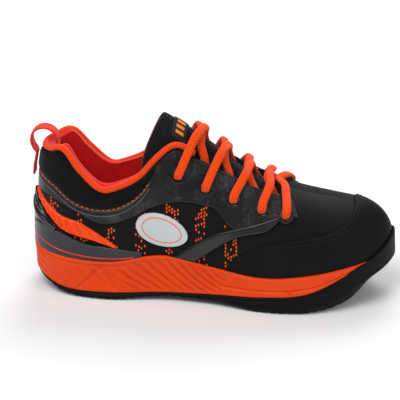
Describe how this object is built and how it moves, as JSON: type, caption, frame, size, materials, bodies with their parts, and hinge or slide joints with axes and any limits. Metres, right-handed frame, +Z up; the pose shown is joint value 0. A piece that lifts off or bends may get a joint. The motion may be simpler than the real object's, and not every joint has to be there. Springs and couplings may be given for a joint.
{
  "type": "court shoe",
  "caption": "Low-cut lace-up court shoe for the right foot, with a knitted upper, glossy overlays, a cupped midsole, a plastic heel clip and a rubber outsole that climbs over the toe.",
  "frame": {"origin": "middle of the footprint of the shoe's bounding box, on the ground", "axes": "+X from heel to toe, +Y to the inner (medial) side of the foot, +Z up; the outer side faces -Y"},
  "size_m": [0.2811, 0.0988, 0.1419],
  "materials": {
    "outsole_rubber": "matt moulded rubber",
    "midsole_foam": "moulded foam, satin",
    "board": "fibre board",
    "sockliner_foam": "textile on foam",
    "knit": "black knit with orange dots",
    "vamp_mesh": "open woven mesh",
    "inner_textile": "thin black textile",
    "padding_foam": "soft foam",
    "lining_textile": "brushed textile",
    "collar_textile": "padded textile",
    "matte_overlay": "matt film",
    "gloss_overlay": "glossy crinkled film",
    "insert_rubber": "ribbed moulded insert",
    "badge": "printed film",
    "clip_plastic": "glossy moulded plastic",
    "tongue_mesh": "spacer mesh",
    "label": "woven label",
    "binding": "rolled binding",
    "lace_cord": "braided polyester",
    "aglet_plastic": "clear film tip",
    "eyelet_plastic": "moulded ring",
    "webbing": "woven webbing"
  },
  "bodies": {
    "shoe": {"outsole": "outsole_rubber", "midsole": "midsole_foam", "strobel_board": "board", "quarter": "knit", "vamp": "vamp_mesh", "vamp_lining": "inner_textile", "toe_puff": "board", "heel_counter": "board", "collar_foam": "padding_foam", "collar_lining": "lining_textile", "collar_panel": "collar_textile", "toe_cap": "matte_overlay", "saddle_lateral": "gloss_overlay", "saddle_medial": "gloss_overlay", "forefoot_strap_lateral": "gloss_overlay", "forefoot_strap_medial": "gloss_overlay", "heel_insert_lateral": "insert_rubber", "heel_insert_medial": "insert_rubber", "side_badge_lateral": "badge", "side_badge_medial": "badge", "heel_clip": "clip_plastic", "collar_binding": "binding", "lace": "lace_cord", "aglet_lateral": "aglet_plastic", "aglet_medial": "aglet_plastic", "pull_tab_outer": "webbing", "pull_tab_inner": "webbing", "eyelet_lateral_1": "eyelet_plastic", "eyelet_lateral_2": "eyelet_plastic", "eyelet_lateral_3": "eyelet_plastic", "eyelet_lateral_4": "eyelet_plastic", "eyelet_lateral_5": "eyelet_plastic", "eyelet_medial_1": "eyelet_plastic", "eyelet_medial_2": "eyelet_plastic", "eyelet_medial_3": "eyelet_plastic", "eyelet_medial_4": "eyelet_plastic", "eyelet_medial_5": "eyelet_plastic"},
    "footbed": {"sockliner": "sockliner_foam"},
    "tongue_body": {"tongue": "tongue_mesh", "tongue_foam": "padding_foam", "tongue_lining": "lining_textile", "tongue_label": "label"},
    "loop": {"pull_loop": "webbing"}
  },
  "joints": [
    {"name": "tongue_rock", "type": "hinge", "parent": "shoe", "child": "tongue_body", "pos_m": [0.0668, 0.00215, 0.076], "axis": [0, 1, 0], "range_deg": [-3, 0], "stiffness_Nm_per_rad": 0.2},
    {"name": "pull_loop_flex", "type": "hinge", "parent": "shoe", "child": "loop", "pos_m": [-0.1358, 0.00215, 0.1068], "axis": [0, 1, 0], "range_deg": [-15, 0], "stiffness_Nm_per_rad": 0.004},
    {"name": "sockliner_lift", "type": "hinge", "parent": "shoe", "child": "footbed", "pos_m": [0.1278, 0.00715, 0.0375], "axis": [0, 1, 0], "range_deg": [0, 3]}
  ]
}
